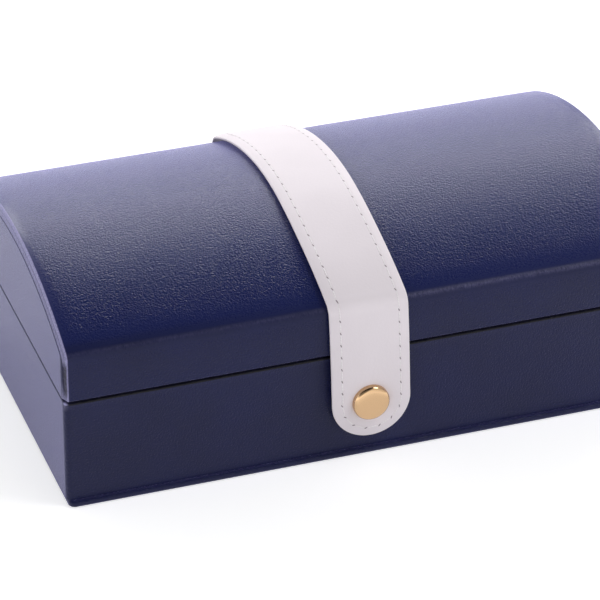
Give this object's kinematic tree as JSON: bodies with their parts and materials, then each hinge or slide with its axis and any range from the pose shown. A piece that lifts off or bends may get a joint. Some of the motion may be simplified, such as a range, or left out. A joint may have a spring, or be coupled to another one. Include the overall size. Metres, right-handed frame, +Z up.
{
  "type": "leather jewellery case",
  "caption": "Vaulted jewellery case in navy leather with a hinged lid, velvet compartments, ring rolls and a mirror inside, closed by a white strap with a snap.",
  "frame": {"origin": "middle of the case's length and of its cover's depth, on the underside that rests on the table", "axes": "+X along the case to the right as seen from the front, -Y out of the front with the strap and snap, +Y to the hinge, +Z up"},
  "size_m": [0.18, 0.1099, 0.064],
  "materials": {
    "navy_leather": "fine pebbled, satin",
    "white_leather": "smooth, satin",
    "velvet": "short-pile velvet",
    "ring_roll_velvet": "short-pile velvet over foam",
    "greyboard": "matte",
    "bearer_wood": "plain",
    "gold_brass": "polished, lacquered",
    "mirror_glass": "polished"
  },
  "bodies": {
    "base": {"bottom_leather": "navy_leather", "bottom_board": "greyboard", "spine_leather": "navy_leather", "spine_board": "greyboard", "base_wall_front": "greyboard", "base_wall_back": "greyboard", "base_wall_left": "greyboard", "base_wall_right": "greyboard", "base_leather_wrap": "navy_leather", "tray_floor": "greyboard", "base_liner_front": "velvet", "base_liner_back": "velvet", "base_liner_left": "velvet", "base_liner_right": "velvet", "floor_pad": "velvet", "divider_main": "velvet", "divider_long": "velvet", "divider_front_1": "velvet", "divider_front_2": "velvet", "divider_back": "velvet", "ring_roll_1": "ring_roll_velvet", "ring_roll_2": "ring_roll_velvet", "ring_roll_3": "ring_roll_velvet", "ring_roll_4": "ring_roll_velvet", "ring_roll_5": "ring_roll_velvet", "ring_roll_6": "ring_roll_velvet", "ring_roll_7": "ring_roll_velvet", "snap_stud": "gold_brass", "snap_rivet": "gold_brass"},
    "lid": {"cover_leather": "navy_leather", "vault_board": "greyboard", "front_band_board": "greyboard", "lid_back_board": "greyboard", "lid_end_left": "greyboard", "lid_end_right": "greyboard", "lid_wall_front": "greyboard", "lid_wall_back": "greyboard", "lid_leather_wrap": "navy_leather", "lid_liner_front": "velvet", "lid_liner_back": "velvet", "lid_liner_left": "velvet", "lid_liner_right": "velvet", "lid_panel": "velvet", "panel_bearer_left": "bearer_wood", "panel_bearer_right": "bearer_wood", "mirror": "mirror_glass", "mirror_frame": "white_leather", "strap_facing": "white_leather", "strap_backing": "white_leather"},
    "tongue": {"tongue_facing": "white_leather", "tongue_backing": "white_leather", "snap_cap": "gold_brass", "snap_socket": "gold_brass"}
  },
  "joints": [
    {"name": "lid_hinge", "type": "hinge", "parent": "base", "child": "lid", "pos_m": [0, 0.0517, 0.0342], "axis": [-1, 0, 0], "range_deg": [0, 105]},
    {"name": "tongue_hinge", "type": "hinge", "parent": "lid", "child": "tongue", "pos_m": [-0.0022, -0.05375, 0.04753], "axis": [-1, 0, 0], "range_deg": [0, 100]}
  ]
}
